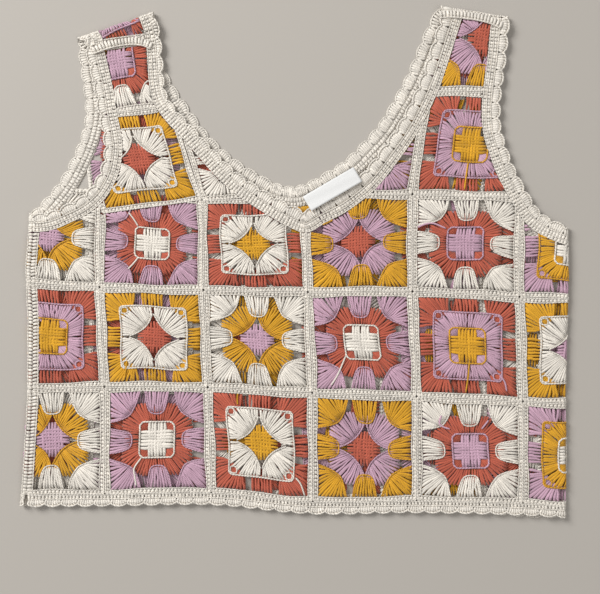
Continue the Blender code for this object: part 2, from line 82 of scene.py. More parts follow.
# The cells over the top line: the left and right end of each line across them.
STRAP_CELLS = {
    "front_left": [((-157.5, 43), (-75.5, 54)), ((-176.5, 121.5), (-99, 132)), ((-192.5, 203), (-108, 214.5))],
    "front_gore_l": [((-75.5, 54), (8.5, 58)), ((-99, 132), (-15, 134)), ((-116, 214), (-32, 214))],
    "front_gore_r": [((8.5, 58), (96.5, 59)), ((24, 143), (108, 143)), ((35, 235), (119, 235))],
    "front_right": [((96.5, 59), (184, 56.5)), ((108, 143), (191.5, 143)), ((119, 235), (204.5, 223.5))],
    "back_left": [((-169, 64), (-88, 62)), ((-177.5, 133), (-96.5, 144.5)), ((-194.5, 211), (-115.5, 227.5))],
    "back_gore_l": [((-88, 62), (-7, 61)), ((-96.5, 144.5), (-15, 144)), ((-115.5, 227), (-34, 227))],
    "back_gore_r": [((-7, 61), (74, 60)), ((8, 141), (92, 141)), ((25, 223), (107.5, 223))],
    "back_right": [((74, 60), (155, 59)), ((92, 141), (172.5, 141)), ((107.5, 223.5), (189.5, 211))],
}
# Side folds, as (height, place); the shoulders' folds (crowns) and seams run between two points.
LEFT_FOLD = [(-192, -224), (-176, -222.5), (-110, -218.5), (-44, -218), (-3, -220), (50, -216)]
RIGHT_FOLD = [(-200, 221.5), (-151, 222), (-110, 221.5), (-60, 222.5), (-19, 224), (30, 223.5)]
LEFT_CROWN = ((-181.5, 185.5), (-126, 204.5))
RIGHT_CROWN = ((118, 213), (169, 205))
LEFT_SEAM = ((-156, 181), (-122, 186))
RIGHT_SEAM = ((137, 206.5), (161, 204))
FOLDS = {"front": (RIGHT_FOLD,), "back": (LEFT_FOLD, LEFT_CROWN, RIGHT_CROWN)}


# ---- the plan and how it is laid down

def catmull(t):
    """Catmull-Rom weights of four rows, at t between the second and the third."""
    return (0.5 * (-t + 2 * t ** 2 - t ** 3), 0.5 * (2 - 5 * t ** 2 + 3 * t ** 3),
            0.5 * (t + 4 * t ** 2 - 3 * t ** 3), 0.5 * (t ** 3 - t ** 2))


def extended(rows):
    """Rows with one more at each end, in line with the last two."""
    rows = np.asarray(rows, float)
    return np.concatenate([[2 * rows[0] - rows[1]], rows, [2 * rows[-1] - rows[-2]]])


def read(rows, t):
    """Points at the places t on the smooth curve through rows, which stand one apart."""
    t = np.asarray(t, float)
    i = np.clip(np.floor(t).astype(int), 0, len(rows) - 2)
    longer = extended(rows)
    return sum(w[..., None] * longer[i + k] for k, w in enumerate(catmull(t - i)))


def spline(points, steps=10):
    """A fine polyline through the given points."""
    return read(points, np.linspace(0, len(points) - 1, (len(points) - 1) * steps + 1))


def at_height(table, y):
    """The place at the heights y of a line given as (height, place)."""
    heights, places = np.array(table).T
    return np.interp(y, heights, places)


def past(fold, x, y):
    """How far a point of the plan is past the line where the cloth starts to bend, and the way out."""
    if fold is LEFT_FOLD:
        return at_height(fold, y) + FOLD_RADIUS - x, (-1.0, 0.0)
    if fold is RIGHT_FOLD:
        return x - at_height(fold, y) + FOLD_RADIUS, (1.0, 0.0)
    (x0, y0), (x1, y1) = fold
    size = np.hypot(x1 - x0, y1 - y0)
    out = (-(y1 - y0) / size, (x1 - x0) / size)
    return (x - x0) * out[0] + (y - y0) * out[1] + FOLD_RADIUS, out


def front_height(x, y):
    """Height of the front panel's middle surface where it lies on the back panel."""
    near = 0.0
    for fold in (LEFT_FOLD, RIGHT_FOLD, LEFT_CROWN, RIGHT_CROWN):
        near = np.maximum(near, np.exp(-(np.maximum(-past(fold, x, y)[0], 0.0) / FOLD_REACH) ** 2))
    waves = np.sin(x / 31 + y / 57) * np.cos(y / 37 - x / 83) + 0.6 * np.sin(y / 23 + x / 47)
    flat = REST_FRONT + WAVE * (1.0 + 0.6 * waves)
    return flat + (REST_BACK + 2 * FOLD_RADIUS - flat) * near


def unroll(fold, x, y):
    """The plan point that the fold brings back to (x, y) on its far side."""
    depth, out = past(fold, x, y)
    push = -2 * depth + pi * FOLD_RADIUS
    return x + out[0] * push, y + out[1] * push


def middle_surface(panel, x, y):
    """The middle of the cloth in space, for points of a panel's plan."""
    sign = 1 if panel == "front" else -1
    z = front_height(x, y) if panel == "front" else np.full_like(x, REST_BACK)
    place = np.stack([x, y, z], -1)
    for fold in reversed(FOLDS[panel]):
        depth, out = past(fold, x, y)
        angle = depth / FOLD_RADIUS
        shift = np.where(angle < pi, FOLD_RADIUS * np.sin(angle) - depth, pi * FOLD_RADIUS - 2 * depth)
        px, py = x + out[0] * shift, y + out[1] * shift
        beyond = np.full_like(x, REST_BACK) if sign > 0 else front_height(px, py)
        pz = np.where(angle < pi, REST_BACK + FOLD_RADIUS * (1 + sign * np.cos(angle)), beyond)
        place = np.where((depth > 0)[..., None], np.stack([px, py, pz], -1), place)
    return place


def unit(vectors):
    return vectors / np.maximum(np.linalg.norm(vectors, axis=-1, keepdims=True), 1e-9)


def laid(panel, path):
    """Points in space of strands (x, y, height), and the cloth's normal there."""
    x, y = path[..., 0], path[..., 1]
    step = 0.3
    here = middle_surface(panel, x, y)
    right, up = middle_surface(panel, x + step, y) - here, middle_surface(panel, x, y + step) - here
    normal = unit(np.cross(right, up))
    lift = path[..., 2] if panel == "front" else BACK_LIFT - path[..., 2]
    return here + normal * lift[..., None], normal


# Cut lines: the neck's run from the left shoulder seam to the right one, the armholes' down to a side seam.
NECK, ARM_LEFT, ARM_RIGHT = {}, {}, {}
NECK["front"] = spline([
    (-122, 186), (-121.2, 180.5), (-120.3, 168.5), (-119, 150), (-115, 133.5), (-105, 119), (-92.5, 106),
    (-81, 92.5), (-66.5, 76), (-51.5, 62), (-38.5, 52.5), (-23.5, 43), (-8, 34), (9.5, 27.5), (26, 36),
    (41.5, 44), (55.5, 54), (68.5, 65.5), (83.5, 84.5), (98.5, 106), (110, 127), (119.5, 148.5),
        (128, 174), (133, 190),
    (136.5, 201.5), (137, 206.5)])
ARM_LEFT["front"] = spline([
    (-156, 181), (-155.2, 175.5), (-152, 161.5), (-148.5, 145.5), (-145.5, 127), (-142, 110), (-140.5, 96),
    (-143, 79.5), (-148.5, 65.5), (-157.5, 52.5), (-170, 42.5), (-185, 35), (-197, 30), (-208, 28),
        (-214, 28)])
ARM_RIGHT["front"] = spline([
    (161, 204), (160.5, 199), (158.5, 174), (155, 148.5), (153.5, 133), (153.5, 116.5), (156, 102.5),
        (161, 87.5),
    (166.5, 73.5), (174, 59.5), (181.5, 46.5), (189, 36), (199, 27.5), (212, 21), (224, 16.5), (234, 13.5),
    (239, 13), (243.5, 13)])
NECK["back"] = spline([
    unroll(LEFT_CROWN, -122, 186), unroll(LEFT_CROWN, -122.9, 192), (-128, 205), (-126, 187), (-120, 162),
    (-112.5, 146.5), (-99, 125), (-85, 104), (-73, 90), (-61, 78.5), (-47, 68), (-31, 58), (-16, 51), (2, 49),
    (18, 54), (33, 62), (50, 73), (66, 88), (82, 106), (94, 125), (104, 143), (112, 160), (119, 177),
        (127, 195),
    (135, 206.5), unroll(RIGHT_CROWN, 137.4, 209), unroll(RIGHT_CROWN, 137, 206.5)])
ARM_LEFT["back"] = spline([
    unroll(LEFT_CROWN, -156, 181), unroll(LEFT_CROWN, -157, 187), (-161.5, 194), (-163, 184), (-161, 165),
    (-158.5, 148), (-157, 130), (-158, 115), (-163, 97), (-171, 79), (-180, 63), (-190, 50), (-200, 39),
    (-210, 30.5), unroll(LEFT_FOLD, -219, 28), unroll(LEFT_FOLD, -214, 28)])
ARM_RIGHT["back"] = spline([
    unroll(RIGHT_CROWN, 161, 204), (161, 205.5), (158, 190), (155, 163), (151.5, 137), (151.5, 116.5),
    (154, 102.5), (159, 87.5), (164.5, 73), (171, 58.5), (177.5, 45.5), (184, 33.5), (190.5, 23),
        (196.5, 15.5), (202, 13),
    (206, 13)])


def split(curve):
    """A neck line's left and right halves, divided at its lowest point."""
    low = int(np.argmin(curve[:, 1]))
    return curve[:low + 1], curve[low:]


def cross(curve, y):
    """Where a curve that rises or falls all the way has the heights y."""
    rows = curve[np.argsort(curve[:, 1], kind="stable")]
    i = np.clip(np.searchsorted(rows[:, 1], y, side="right"), 1, len(rows) - 1)
    a, b = rows[i - 1], rows[i]
    return a[..., 0] + (b[..., 0] - a[..., 0]) * (y - a[..., 1]) / np.maximum(b[..., 1] - a[..., 1], 1e-6)


def side_seams(panel, y):
    """The panel's left and right side seams at the heights y, on its plan."""
    left = at_height(LEFT_FOLD, y) + SIDE_SEAM
    right = at_height(RIGHT_FOLD, y) - UNDER_SEAM
    if panel == "back":
        return unroll(LEFT_FOLD, left, y)[0], right
    return left, unroll(RIGHT_FOLD, right, y)[0]


def on_body(panel, x, y):
    """True where plan points are inside every cut line and side seam of a panel."""
    left, right = side_seams(panel, y)
    inside = (x > left + SEAM / 2) & (x < right - SEAM / 2)
    for curve, hand in ((ARM_LEFT[panel], 1), (ARM_RIGHT[panel], -1)):
        inside &= (y < curve[-1, 1] - TRIM) | ((x - cross(curve, y)) * hand > TRIM)
    neck_left, neck_right = split(NECK[panel])
    low = neck_left[-1, 1] - TRIM
    return inside & ((y < low) | (x < cross(neck_left, y) - TRIM) | (x > cross(neck_right, y) + TRIM))


def body_cell(panel, column, row):
    """Plan of one body motif: s and t run over its cell, from its left and from its hem side."""
    lines = LINES[panel]

    def plan(s, t):
        crossings = extended([read(line, column + s) for line in lines])
        i = np.clip(np.floor(row + t).astype(int), 0, len(lines) - 2)
        where = np.indices(i.shape)
        return sum(w[..., None] * crossings[(i + k, *where)] for k, w in enumerate(catmull(row + t - i)))
    return plan


def strap_cell(name, row):
    """Plan of one motif over the top line, row 0 at the bottom of the strap and 1 at the shoulder."""
    lefts, rights = [[ends[k] for ends in STRAP_CELLS[name]] for k in (0, 1)]

    def plan(s, t):
        a, b = read(lefts, row + t), read(rights, row + t)
        return a + (b - a) * s[..., None]
    return plan


def pleat(x):
    """Where the left strap's first motif ends over the body, as a height over the plan."""
    (x0, y0), (x1, y1) = STRAP_CELLS["front_left"][0]
    return y0 + (y1 - y0) * (x - x0) / (x1 - x0) - SEAM / 2


def between(left, right):
    """Test for strap pieces: to the right of one cut line and to the left of another."""
    def keep(x, y):
        inside = np.ones(x.shape, bool)
        if left is not None:
            inside &= x > cross(left, y) + TRIM
        if right is not None:
            inside &= x < cross(right, y) - TRIM
        return inside
    return keep


def seam_line(panel, crown, seam):
    """A shoulder seam's ends on a panel's plan."""
    return [unroll(crown, *end) if panel == "back" else end for end in seam]


def under_seam(keep, ends, less=0.0):
    """Adds a shoulder seam to a strap's test, or a line that far under it."""
    (x0, y0), (x1, y1) = ends
    return lambda x, y: keep(x, y) & (y < y0 + (y1 - y0) * (x - x0) / (x1 - x0) - SEAM / 2 - less)


# ---- strands

POST_TALL = 0.52  # half the thickness of a post, which is flat; its width is each round's own
CORD = 0.72  # radius of the bright cords round the fans and squares
TRIM_YARN = 0.62  # radius in the cream rows
RIM = 1.2  # how far the shells' cord reaches over the band, on average
SAMPLES = 17  # places where a strand is tested against the cut lines
SHORTEST = 3  # a strand with no more of them inside is left out
ROW_PITCH = 2.8  # from stitch to stitch in the rows of the edgings


def clipped(path, keep):
    """Each strand's longest stretch inside the piece, with as many points as before."""
    count = path.shape[1]
    fine = np.linspace(0, count - 1, SAMPLES)
    i = np.minimum(fine.astype(int), count - 2)
    part = (fine - i)[None, :, None]
    dense = path[:, i] * (1 - part) + path[:, i + 1] * part
    inside = keep(dense[..., 0], dense[..., 1])
    run = inside.astype(int)
    for j in range(1, SAMPLES):
        run[:, j] = (run[:, j - 1] + 1) * inside[:, j]
    stop, length = run.argmax(1), run.max(1)
    chosen = length > SHORTEST
    whole = length[chosen] == SAMPLES
    dense, stop, length = dense[chosen], stop[chosen], length[chosen]
    places = (stop - length + 1)[:, None] + (length - 1)[:, None] * np.linspace(0, 1, count)
    j = np.minimum(places.astype(int), SAMPLES - 2)
    part = (places - j)[..., None]
    row = np.arange(len(dense))[:, None]
    cut = dense[row, j] * (1 - part) + dense[row, j + 1] * part
    return np.where(whole[:, None, None], path[chosen], cut)


class Cloth:
    """One visible piece: batches of strands on a panel, each with its yarn."""

    def __init__(self, name, panel, keep=None, seed=0):
        self.name, self.panel, self.keep = name, panel, keep
        self.random = np.random.default_rng(seed)
        self.batches = []

    def add(self, yarn, path, wide, tall=None, sides=4):
        """Adds strands of the given yarn: path is (strand, point, xyh), on the panel's plan.

        wide is half a strand's width, one number or one for each point, and tall half its thickness.
        Strands differ a little in size, tone and twist, and taper at their ends.
        """
        path = np.asarray(path, float)
        if self.keep is not None and len(path):
            path = clipped(path, self.keep)
        if not len(path):
            return
        place, normal = laid(self.panel, path)
        along = unit(np.gradient(place, axis=1))
        across = unit(np.cross(along, normal))
        up = np.cross(across, along)
        angle = 2 * pi * (np.arange(sides) + 0.5) / sides
        size = np.ones(path.shape[:2]) * self.random.uniform(0.93, 1.07, len(path))[:, None]
        size[:, [0, -1]] *= 0.75
        thick = (tall or np.min(wide) * 0.9) * size
        wide = wide * size
        ring = (wide[..., None, None] * np.cos(angle)[:, None] * across[:, :, None]
                + thick[..., None, None] * np.sin(angle)[:, None] * up[:, :, None])
        verts = place[:, :, None] + ring
        length = np.concatenate([np.zeros((len(path), 1)),
                                 np.cumsum(np.linalg.norm(np.diff(place, axis=1), axis=-1), axis=1)], 1)
        length += self.random.uniform(0, 3.0, len(path))[:, None]
        self.batches.append((yarn, verts, length, self.random.normal(0, 1, len(path))))


def stitches(bases, tops, low, high, points=3, arch=0.25):
    """Single short strands from bases to tops, (n, 2) each, arched up a little."""
    bases, tops = np.asarray(bases, float), np.asarray(tops, float)
    t = np.linspace(0, 1, points)
    line = bases[:, None] + (tops - bases)[:, None] * t[None, :, None]
    height = np.broadcast_to(low + (high - low) * t + arch * np.sin(pi * t), line.shape[:2])
    return np.concatenate([line, height[..., None]], -1)


def walk(curve, count):
    """count points at equal distances along a polyline, and its length."""
    curve = np.asarray(curve, float)
    far = np.concatenate([[0], np.cumsum(np.linalg.norm(np.diff(curve, axis=0), axis=1))])
    places = np.linspace(0, far[-1], count)
    return np.stack([np.interp(places, far, curve[:, k]) for k in range(curve.shape[1])], -1), far[-1]


def rope(curve, pitch, height, slant=0.35, overlap=0.14, points=3):
    """A cord along a polyline, as short slanted strands that overlap like the bars of a rope."""
    _, length = walk(curve, 2)
    count = max(int(round(length / pitch)), 1)
    parts = 4
    fine, _ = walk(curve, count * parts + 1)
    way = unit(np.gradient(fine, axis=0))
    aside = np.stack([-way[:, 1], way[:, 0]], -1)
    t = np.linspace(-overlap, 1 + overlap, points)
    places = np.clip((np.arange(count)[:, None] + t[None]) * parts, 0, count * parts)
    i = np.minimum(places.astype(int), count * parts - 1)
    part = (places - i)[..., None]
    line = fine[i] * (1 - part) + fine[i + 1] * part
    line = line + aside[i] * (slant * np.linspace(-1, 1, points))[None, :, None]
    lift = height + 0.3 * np.sin(pi * np.linspace(0, 1, points))
    return np.concatenate([line, np.broadcast_to(lift[:, None], line.shape[:2] + (1,))], -1)


# ---- motifs

ZONE = 39.0  # half the coloured square, in millimetres; 1 in a motif's own coordinates
CELL = 43.0  # half a motif with its cream border
EDGE = CELL / ZONE  # half the cell, in a motif's own coordinates as the next two
OUTER = 0.99  # where the coloured rounds end
JITTER = 0.006  # how far posts stray

# Rounds from the outside in, whether the centre is a small square (else a star), and whether the middle
# round lies over the outer one.
DESIGNS = {
    "lilac_square":      ("lilac", "terracotta", "cream", True, False),
    "terracotta_frame":  ("terracotta", "cream", "gold", False, True),
    "gold_star":         ("gold", "lilac", "terracotta", False, False),
    "cream_square":      ("cream", "terracotta", "lilac", True, False),
    "terracotta_double": ("terracotta", "lilac", "gold", True, True),
    "gold_frame":        ("gold", "cream", "terracotta", False, True),
    "gold_frame_lilac":  ("gold", "cream", "lilac", False, True),
    "cream_star":        ("cream", "gold", "lilac", False, False),
    "lilac_double":      ("lilac", "gold", "cream", True, True),
}
COLUMNS = 6
ROW_NAMES = ("hem", "middle", "upper")
# The front's rows at the hem and at the top are alike.
FRONT_ROW = ["cream_star", "lilac_square", "terracotta_frame", "gold_star", "cream_square", "lilac_double"]
LAYOUT = {
    "front": [
        FRONT_ROW,
        ["terracotta_double", "gold_frame", "cream_star", "lilac_square",
         "terracotta_double", "gold_frame_lilac"],
        FRONT_ROW],
    "back": [
        ["cream_square", "lilac_square", "terracotta_frame", "terracotta_double", "gold_star",
         "lilac_square"],
        ["terracotta_double", "lilac_square", "gold_frame", "cream_square",
         "terracotta_double", "terracotta_frame"],
        ["cream_star", "terracotta_double", "terracotta_frame", "gold_star", "lilac_square", "cream_square"]],
}
# The motifs over the top line: the piece, its cell and row, and its design on the front and the back.
STRAPS = (
    ("left_strap_motif", "left", 0, "gold_frame", "lilac_square"),
    ("right_strap_motif", "right", 0, "terracotta_double", "gold_frame"),
    ("left_gore", "gore_l", 0, "cream_star", "terracotta_frame"),
    ("right_gore", "gore_r", 0, "lilac_square", "cream_square"),
    ("left_shoulder_motif", "left", 1, "cream_square", "terracotta_double"),
    ("right_shoulder_motif", "right", 1, "gold_star", "lilac_square"),
)


def spread(count, half):
    """Numbers at equal steps from -half to half."""
    return np.linspace(-half, half, count)


def points_at(places, heights):
    """Points of the given places and heights, either of which may be one number for all."""
    return np.stack(np.broadcast_arrays(places, heights), -1).astype(float)


def centre_square():
    """One arm of the cross of posts in the small square, whose corners stay open."""
    p = spread(6, 0.16)
    return points_at(p, -0.06), points_at(p, 0.345)


def centre_star():
    """One arm of a four-pointed star."""
    p = spread(7, 0.19)
    return points_at(p, -0.08), points_at(p, np.minimum(0.355, 0.46 - 1.3 * np.abs(p)))


def mirrored(ends):
    """Posts' two ends on one half of a side, and on the other half too."""
    return [np.concatenate([a, a * (-1, 1)]) for a in ends]


def lobes(inner):
    """One side of a middle round under the outer one: its posts end in two lobes with a slit between them."""
    p = 0.045 + 0.0715 * np.arange(9)
    return mirrored((inner(p), points_at(p, 0.745 - 0.9 * (p - 0.28) ** 2)))


def frame_round(inner):
    """One side of a middle round with a square outline; inner is where it starts, by place along the side."""
    p = 0.04 + 0.0622 * np.arange(10)
    top = points_at(p, 0.68)
    top[-2:] = (0.527, 0.61), (0.553, 0.557)  # these two stop short of the hole in the corner
    return mirrored((inner(p), top))


def star_edge(p):
    """Inner ends of a frame round that leaves a star open."""
    place = np.clip(p / 0.61, 0, 1)
    return points_at(0.03 + 0.17 * place ** 0.75, 0.48 - 0.27 * place ** 0.75)


def square_edge(p):
    """Inner ends of a middle round on a square, which shows through the holes in its corners."""
    corner = 0.17 * np.clip((p - 0.25) / 0.35, 0, 1)
    return points_at(p * 0.62 - corner, 0.37 - corner)


def side_fan():
    """The fan in the middle of one side."""
    f = spread(8, 1.0)
    return points_at(0.135 * f, 0.56 + 0.035 * f ** 2), points_at(0.225 * f, OUTER)


SIDE_FAN_EDGE = [(-0.25, 0.99), (-0.215, 0.78), (-0.17, 0.62), (-0.105, 0.545), (0.0, 0.53), (0.105, 0.545),
                 (0.17, 0.62), (0.215, 0.78), (0.25, 0.99)]
STAR_EDGE = [(0.015, 0.53), (0.06, 0.42), (0.125, 0.30), (0.205, 0.205), (0.30, 0.125), (0.42, 0.06),
             (0.53, 0.015)]
CORNER_FAN_EDGE = [(0.385, 0.99), (0.44, 0.76), (0.52, 0.58), (0.62, 0.50), (0.76, 0.43), (0.99, 0.36)]


def corner_fan():
    """The fan in the corner at the end of one side."""
    inner, _ = walk(spline([(0.47, 0.72), (0.545, 0.585), (0.61, 0.53), (0.74, 0.465)], 6), 15)
    outer, _ = walk([(0.415, OUTER), (OUTER, OUTER), (OUTER, 0.395)], 15)
    return inner, outer


def outer_frame():
    """One side of an outer round that lies under the middle one: a bundle and the halves of two corners."""
    side, k = spread(7, 0.205), np.arange(8)
    corner = points_at(0.415 + 0.016 * k, 0.665 - 0.02 * k), points_at(0.385 + 0.084 * k, OUTER)
    bundle = points_at(side * 0.95, 0.665), points_at(side, OUTER)
    return [np.concatenate(both) for both in zip(bundle, mirrored(corner))]


def turned(points, quarter):
    """Points of one side, moved round to another."""
    a, b = points[..., 0], points[..., 1]
    pairs = ((a, b), (b, -a), (-a, -b), (-b, a))
    return np.stack(pairs[quarter], -1)


def square_line(half, corner=0.05):
    """A closed square with rounded corners."""
    k = half - corner
    corners = [(-k, half), (k, half), (half, k), (half, -k), (k, -half), (-k, -half), (-half, -k), (-half, k)]
    return np.array(corners + corners[:1], float)


def hole_line(place, size):
    """The little square of chains in a corner of a round."""
    return square_line(size, size * 0.4) + np.array([place, place])


ALL_SIDES = (0, 1, 2, 3)  # up, right, down and left
# Side fans that other rows cover at the shoulders.
COVERED_FANS = (("front_left_shoulder_motif", 1), ("front_right_shoulder_motif", 3))


class Motif:
    """Works one motif into a piece: its own coordinates run from -EDGE to EDGE over the cell.

    Where it isn't fine, as on the back, it has fewer points, sides and strands in its cords.
    """

    def __init__(self, cloth, plan, fine=True):
        self.cloth, self.plan, self.fine = cloth, plan, fine
        self.fans = [side for side in ALL_SIDES if (cloth.name, side) not in COVERED_FANS]
        random = cloth.random
        self.turn = radians(random.normal(0, 1.6))
        self.shift = random.normal(0, 0.012, 2)
        self.wave = random.uniform(0, 2 * pi, 4)
        ends = plan(np.array([0.1, 0.9, 0.5, 0.5]), np.array([0.5, 0.5, 0.1, 0.9]))
        self.scale = (np.hypot(*(ends[1] - ends[0])) + np.hypot(*(ends[3] - ends[2]))) / (3.2 * CELL)

    def place(self, path):
        """Moves strands from the motif's coordinates to the panel's plan, and out of true as by hand."""
        a, b, h = path[..., 0], path[..., 1], path[..., 2]
        far = np.maximum(np.abs(a), np.abs(b))
        inward = np.clip(1.0 - far, 0, 1) ** 0.7
        loose = np.clip((EDGE - far) / 0.12, 0, 1)
        bend = (0.014 * np.sin(3.1 * b + self.wave[0]) + 0.009 * np.sin(6.3 * b + self.wave[1])) * loose
        sway = (0.014 * np.sin(3.4 * a + self.wave[2]) + 0.009 * np.sin(5.7 * a + self.wave[3])) * loose
        c, s = np.cos(self.turn * inward), np.sin(self.turn * inward)
        a, b = a * c - b * s + inward * self.shift[0] + bend, a * s + b * c + inward * self.shift[1] + sway
        edge = EDGE - 0.012
        a, b = np.clip(a, -edge, edge), np.clip(b, -edge, edge)
        flat = self.plan((a / EDGE + 1) / 2, (b / EDGE + 1) / 2)
        return np.concatenate([flat, h[..., None]], -1)

    def posts(self, yarn, ends, low, high, wide, sides=ALL_SIDES):
        """Posts on the given sides; wide is half their width at their inner and outer end."""
        bases, tops = ends
        points = 5 if self.fine else 4
        for quarter in sides:
            jitter = self.cloth.random.normal(0, JITTER, tops.shape)
            base, top = turned(bases, quarter), turned(tops + jitter, quarter)
            path = stitches(base, top, low, high, points, arch=0.15)
            path[:, 1:-1, :2] += self.cloth.random.normal(0, JITTER, path[:, 1:-1, :2].shape)
            widths = np.linspace(wide[0], wide[1], points) * self.scale
            self.cloth.add(yarn, self.place(path), widths, POST_TALL, sides=6 if self.fine else 4)

    def cord(self, yarn, curve, height, sides=ALL_SIDES, size=CORD):
        """A cord at a height over the cloth; curve is its place on the top side."""
        pitch = 2.5 if self.fine else 5.0
        for quarter in sides:
            line = rope(turned(np.asarray(curve, float), quarter), pitch / ZONE, height, slant=0.3 / ZONE)
            self.cloth.add(yarn, self.place(line), size)

    def work(self, design, inner):
        """Works all rounds; inner is the test that the coloured ones keep to."""
        outer, middle, centre, square, framed = DESIGNS[design]
        keep, self.cloth.keep = self.cloth.keep, inner
        self.work_outer(outer, framed)
        self.work_middle(middle, square, framed)
        self.work_centre(centre, square)
        self.cloth.keep = keep
        self.work_border()

    def work_outer(self, yarn, framed):
        """The outer round: bundles under a square frame, or fans over the middle round."""
        if framed:
            self.posts(yarn, outer_frame(), -0.15, -0.05, (0.7, 1.5))
            return
        self.posts(yarn, side_fan(), 0.5, 0.1, (0.75, 1.2), self.fans)
        self.posts(yarn, corner_fan(), 0.5, 0.1, (0.7, 1.45))
        self.cord(yarn, spline(SIDE_FAN_EDGE, 3), 0.42, self.fans)
        self.cord(yarn, spline(CORNER_FAN_EDGE, 3), 0.42)

    def work_middle(self, yarn, square, framed):
        """The middle round, in a square frame with holes in its corners or in lobes."""
        inner = square_edge if square else star_edge
        widths = (0.85, 1.3) if square else (0.65, 1.25)
        if not framed:
            self.posts(yarn, lobes(inner), 0.0, -0.2, widths)
        else:
            self.posts(yarn, frame_round(inner), 0.1, 0.35, widths)
            self.cord(yarn, square_line(0.70), 0.5, sides=(0,), size=CORD * 1.1)
            self.cord(yarn, hole_line(0.60, 0.07), 0.35)
        if not square:
            self.cord(yarn, spline(STAR_EDGE, 3), 0.4 if framed else 0.25)

    def work_centre(self, yarn, square):
        """The small square in its cord, or the star."""
        if square:
            self.posts(yarn, centre_square(), 0.35, 0.45, (1.35, 1.4))
            self.cord(yarn, square_line(0.365, 0.07), 0.62, sides=(0,), size=CORD * 1.15)
        else:
            self.posts(yarn, centre_star(), 0.1, 0.0, (1.15, 1.2))

    def work_border(self):
        """The cream round that joins the motifs: slanted stitches, knots at the corners and two cords."""
        steps = spread(28, 1.068)
        for quarter in ALL_SIDES:
            base, top = points_at(steps - 0.018, 1.018), points_at(steps + 0.022, 1.08)
            row = stitches(turned(base, quarter), turned(top, quarter), 0.0, 0.1)
            self.cloth.add("cream", self.place(row), 1.85, POST_TALL)
        corner = np.array([[1.035, 1.035]])
        for quarter in ALL_SIDES:
            knot = stitches(turned(corner, quarter), turned(corner + 0.05, quarter), 0.15, 0.2)
            self.cloth.add("cream", self.place(knot), 1.4, POST_TALL)
        self.cord("cream", square_line(1.006, 0.01), 0.3, sides=(0,), size=TRIM_YARN)
        self.cord("cream", square_line(1.086, 0.01), 0.3, sides=(0,), size=TRIM_YARN * 1.2)


# Loose ends of yarn on the front, in millimetres on the plan: the piece, the yarn and the way it lies.
TAILS = [
    ("upper_motif_2", "cream", [(-128, 33), (-131, 38), (-135.5, 44)]),
    ("upper_motif_2", "cream", [(-128, 7), (-132, 2), (-136, -2)]),
    ("hem_motif_2", "cream", [(-125, -156), (-131, -165), (-130.5, -172), (-129.5, -179)]),
    ("middle_motif_4", "cream", [(42, -73), (37, -85), (34, -91), (30, -97)]),
    ("middle_motif_5", "gold", [(143, -77), (142, -90), (140, -103)]),
    ("middle_motif_5", "lilac", [(169, -90), (172, -95), (173.5, -102)]),
    ("middle_motif_2", "gold", [(-137, -77), (-138, -85), (-139.5, -93)]),
    ("hem_motif_3", "cream", [(1, -173), (5, -178), (8.5, -188)]),
    ("hem_motif_3", "gold", [(-46.5, -104), (-46.8, -108), (-46.5, -113)]),
    ("upper_motif_5", "lilac", [(124, 31), (114, 35), (107, 34.5), (101, 32)]),
    ("hem_motif_5", "lilac", [(127, -133), (121, -131), (118.5, -128), (120, -122)]),
    ("hem_motif_5", "lilac", [(153, -133), (157, -128), (158.5, -126)]),
    ("right_strap_motif", "gold", [(142, 85), (140.5, 75), (139, 63)]),
    ("upper_motif_3", "gold", [(-36, 18), (-36.5, 25), (-35, 32)]),
]


def add_tails(cloth):
    """The loose ends of a piece, which lie over its cut lines too."""
    for name, yarn, points in TAILS:
        if cloth.name == "front_" + name:
            line = spline(points, 5)
            lift = np.linspace(0.9, 1.1, len(line))
            path = np.concatenate([line, lift[:, None]], -1)[None]
            keep, cloth.keep = cloth.keep, None
            cloth.add(yarn, path, 0.7, sides=6)
            cloth.keep = keep


# ---- edgings

NARROW = 11.0  # a band under this width has one row of stitches


